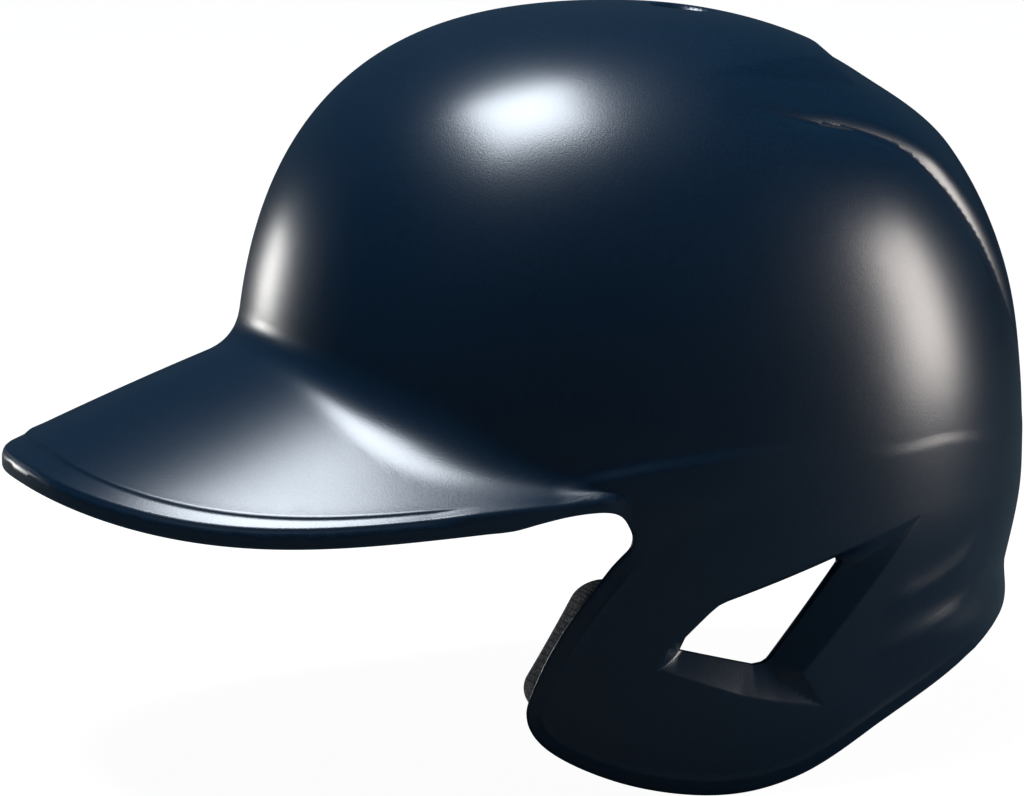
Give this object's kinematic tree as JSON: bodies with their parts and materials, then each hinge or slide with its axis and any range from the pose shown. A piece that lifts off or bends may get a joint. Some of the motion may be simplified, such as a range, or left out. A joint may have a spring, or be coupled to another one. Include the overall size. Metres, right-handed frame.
{
  "type": "batting helmet",
  "caption": "Batting helmet with a long bill and a single vented ear flap, foam liner and pull-off hook-and-loop fit pads",
  "frame": {"origin": "centre of the head opening, level with the brow, where the wearer's head seats", "axes": "-Y is the face and bill side, +X the wearer's left (flap side), +Z the crown"},
  "size_m": [0.208, 0.3071, 0.2134],
  "materials": {
    "shell_paint": "satin navy painted ABS",
    "liner_foam": "moulded bead foam",
    "pad_fabric": "charcoal knitted mesh",
    "pad_foam": "open-cell foam",
    "hook_tape": "black hook tape",
    "loop_tape": "black loop tape"
  },
  "bodies": {
    "helmet": {"outer_shell": "shell_paint", "crown_liner": "liner_foam", "flap_liner": "liner_foam", "nape_liner": "liner_foam", "forehead_hook_tape": "hook_tape", "rear_hook_tape": "hook_tape", "crown_hook_tape": "hook_tape", "cheek_hook_tape": "hook_tape", "left_temple_pad_cover": "pad_fabric", "left_temple_pad_foam": "pad_foam", "right_temple_pad_cover": "pad_fabric", "right_temple_pad_foam": "pad_foam", "ear_pad_cover": "pad_fabric", "ear_pad_foam": "pad_foam"},
    "forehead_pad": {"forehead_loop_tape": "loop_tape", "forehead_pad_cover": "pad_fabric", "forehead_pad_foam": "pad_foam"},
    "rear_pad": {"rear_loop_tape": "loop_tape", "rear_pad_cover": "pad_fabric", "rear_pad_foam": "pad_foam"},
    "crown_pad": {"crown_loop_tape": "loop_tape", "crown_pad_cover": "pad_fabric", "crown_pad_foam": "pad_foam"},
    "cheek_pad": {"cheek_loop_tape": "loop_tape", "cheek_pad_cover": "pad_fabric", "cheek_pad_foam": "pad_foam"}
  },
  "joints": [
    {"name": "forehead_pull_off", "type": "slide", "parent": "helmet", "child": "forehead_pad", "axis": [0, 0.5, -0.866], "range_m": [0, 0.09]},
    {"name": "rear_pull_off", "type": "slide", "parent": "helmet", "child": "rear_pad", "axis": [0, -0.5, -0.866], "range_m": [0, 0.12]},
    {"name": "crown_pull_off", "type": "slide", "parent": "helmet", "child": "crown_pad", "axis": [0, 0, -1], "range_m": [0, 0.26]},
    {"name": "cheek_pull_off", "type": "slide", "parent": "helmet", "child": "cheek_pad", "axis": [-0.6, 0, -0.8], "range_m": [0, 0.08]}
  ]
}
